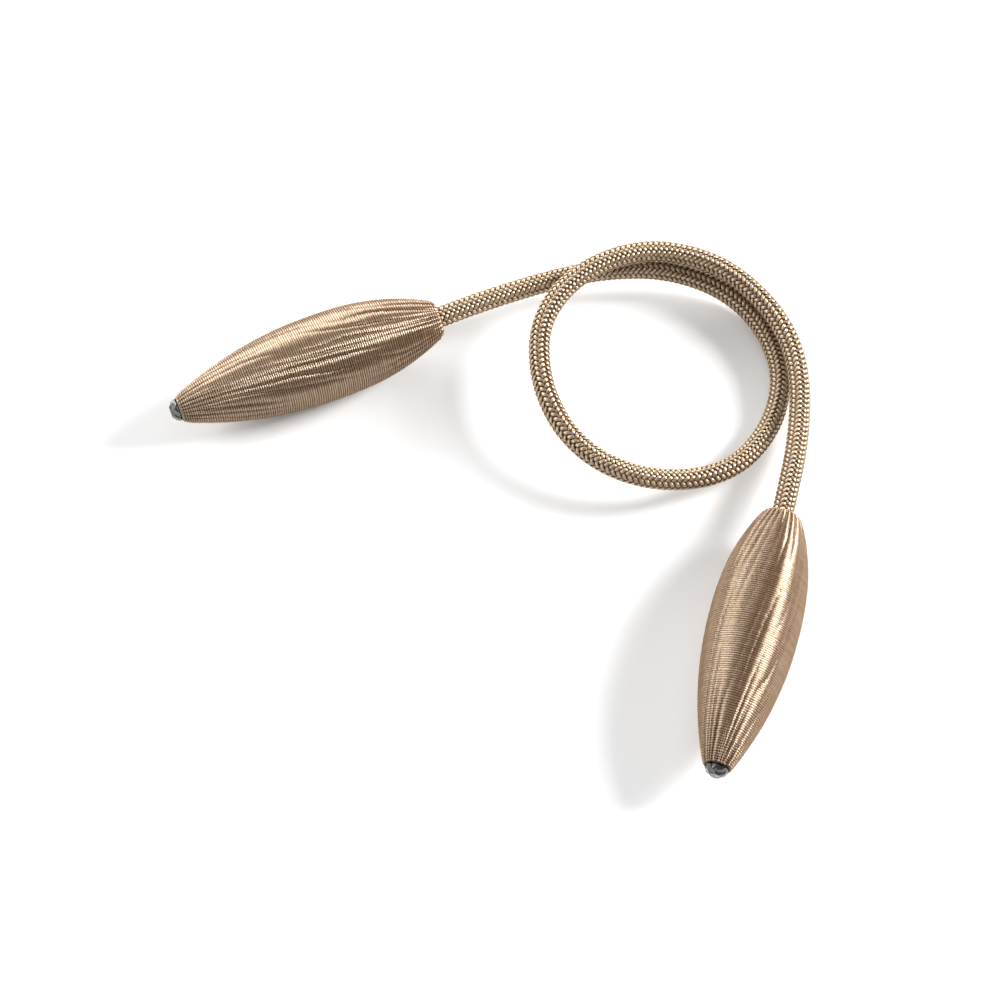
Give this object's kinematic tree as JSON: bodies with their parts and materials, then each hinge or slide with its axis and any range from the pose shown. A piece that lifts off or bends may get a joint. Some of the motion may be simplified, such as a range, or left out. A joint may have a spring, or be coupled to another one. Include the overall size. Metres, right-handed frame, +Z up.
{
  "type": "braided cord curtain tieback",
  "caption": "Bendable curtain tieback: a braided cord bent into a loop, with a thread-wound spindle and a small faceted stone on each end.",
  "frame": {"origin": "on the surface that the tieback rests on, under the middle of the box round both spindles and their stones", "axes": "+Z up; +X towards the side where the loop is; +Y away from the viewer of the picture, towards the loop's far side"},
  "size_m": [0.1841, 0.1671, 0.0252],
  "materials": {
    "braid": "braided satin thread, champagne to bronze",
    "winding": "satin thread wound side by side, champagne to bronze",
    "seat": "dark foil",
    "stone": "faceted, smoky"
  },
  "bodies": {
    "root": {"cord": "braid", "spindle_left": "winding", "spindle_right": "winding", "stone_seat_left": "seat", "stone_seat_right": "seat", "stone_left": "stone", "stone_right": "stone"}
  },
  "joints": []
}
